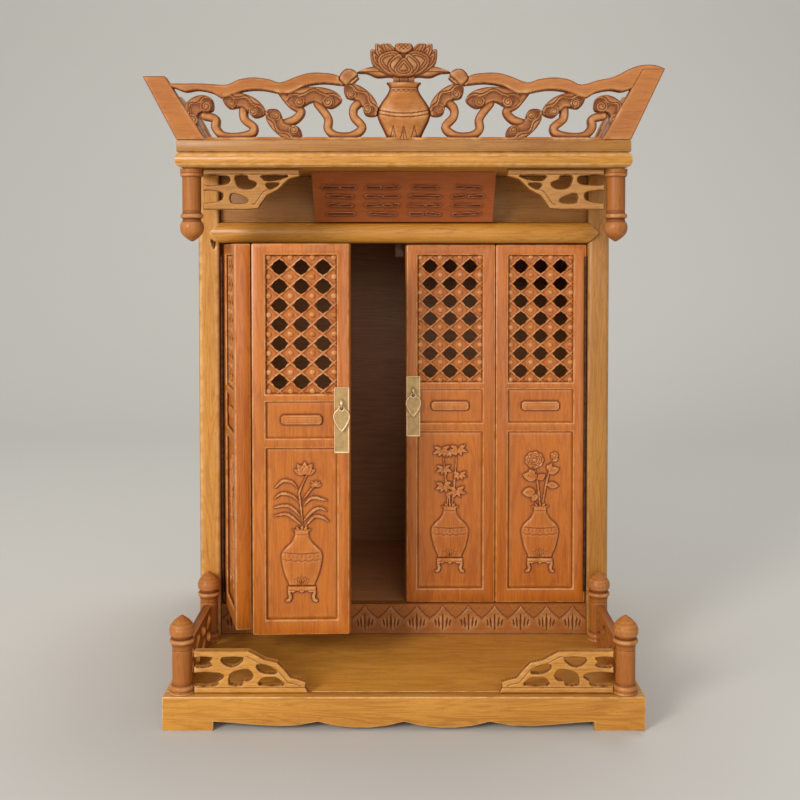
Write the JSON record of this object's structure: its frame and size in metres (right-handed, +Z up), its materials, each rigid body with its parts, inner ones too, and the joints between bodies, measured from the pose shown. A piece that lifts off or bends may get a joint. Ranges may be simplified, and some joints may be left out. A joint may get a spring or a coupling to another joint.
{
  "type": "household altar cabinet",
  "caption": "Carved wooden altar cabinet with folding lattice doors, a railed porch, hanging posts under a cornice and a pierced scrolling crest.",
  "frame": {"origin": "on the ground, under the middle of the whole cabinet seen from above", "axes": "+X to the right as seen from the front, +Y to the back, +Z up; the doors and the porch face -Y"},
  "size_m": [0.47, 0.434, 0.5992],
  "materials": {
    "frame_wood": "varnished, golden orange",
    "carved_wood": "varnished, darker in the recesses",
    "door_wood": "varnished, orange red",
    "plaque_wood": "varnished, red brown",
    "room_wood": "dark brown, dull",
    "brass": "worn, satin",
    "dark_metal": "darkened",
    "grey_metal": "dull"
  },
  "bodies": {
    "cabinet": {"apron_front": "frame_wood", "apron_back": "frame_wood", "apron_left": "frame_wood", "apron_right": "frame_wood", "deck_board": "frame_wood", "stile_left": "frame_wood", "stile_right": "frame_wood", "side_panel_left": "frame_wood", "side_panel_right": "frame_wood", "top_rail": "frame_wood", "frieze_panel": "frame_wood", "cornice_board": "frame_wood", "cap_board": "frame_wood", "newel_front_left": "carved_wood", "newel_front_right": "carved_wood", "newel_back_left": "carved_wood", "newel_back_right": "carved_wood", "corner_rail_left": "carved_wood", "corner_rail_right": "carved_wood", "side_rail_left": "carved_wood", "side_rail_right": "carved_wood", "plinth_band": "carved_wood", "pendant_left": "carved_wood", "pendant_right": "carved_wood", "bracket_left": "carved_wood", "bracket_right": "carved_wood", "crest_front": "carved_wood", "crest_left": "carved_wood", "crest_right": "carved_wood", "plaque": "plaque_wood", "back_panel": "room_wood", "floor_board": "room_wood", "jamb_hinge_left": "dark_metal", "jamb_hinge_right": "dark_metal", "door_catch": "grey_metal"},
    "left_outer": {"leaf_frame_left_outer": "door_wood", "leaf_lattice_left_outer": "door_wood", "leaf_middle_left_outer": "door_wood", "leaf_lower_left_outer": "door_wood", "fold_hinge_left": "dark_metal"},
    "left_inner": {"leaf_frame_left_inner": "door_wood", "leaf_lattice_left_inner": "door_wood", "leaf_middle_left_inner": "door_wood", "leaf_lower_left_inner": "door_wood", "latch_plate_left": "brass"},
    "left_pull": {"pull_left": "brass"},
    "right_outer": {"leaf_frame_right_outer": "door_wood", "leaf_lattice_right_outer": "door_wood", "leaf_middle_right_outer": "door_wood", "leaf_lower_right_outer": "door_wood", "fold_hinge_right": "dark_metal"},
    "right_inner": {"leaf_frame_right_inner": "door_wood", "leaf_lattice_right_inner": "door_wood", "leaf_middle_right_inner": "door_wood", "leaf_lower_right_inner": "door_wood", "latch_plate_right": "brass"},
    "right_pull": {"pull_right": "brass"}
  },
  "joints": [
    {"name": "left_outer_hinge", "type": "hinge", "parent": "cabinet", "child": "left_outer", "pos_m": [-0.1807, -0.052, 0.24], "axis": [0, 0, 1], "range_deg": [-15, 75]},
    {"name": "left_fold", "type": "hinge", "parent": "left_outer", "child": "left_inner", "pos_m": [-0.13926, -0.13324, 0.24], "axis": [0, 0, 1], "range_deg": [-77.1, 15.5]},
    {"name": "left_pull_swing", "type": "hinge", "parent": "left_inner", "child": "left_pull", "pos_m": [-0.05659, -0.15117, 0.26947], "axis": [-0.9994, -0.0349, 0], "range_deg": [0, 42]},
    {"name": "right_outer_hinge", "type": "hinge", "parent": "cabinet", "child": "right_outer", "pos_m": [0.1807, -0.052, 0.24], "axis": [0, 0, 1], "range_deg": [0, 90]},
    {"name": "right_fold", "type": "hinge", "parent": "right_outer", "child": "right_inner", "pos_m": [0.0915, -0.033, 0.24], "axis": [0, 0, 1], "range_deg": [-180.1, 0.1]},
    {"name": "right_pull_swing", "type": "hinge", "parent": "right_inner", "child": "right_pull", "pos_m": [0.0095, -0.0538, 0.26947], "axis": [-1, 0, 0], "range_deg": [0, 42]}
  ],
  "couplings": [
    {"joint": "left_fold", "follows": "left_outer_hinge", "ratio": -1.0267},
    {"joint": "right_fold", "follows": "right_outer_hinge", "ratio": -2}
  ]
}
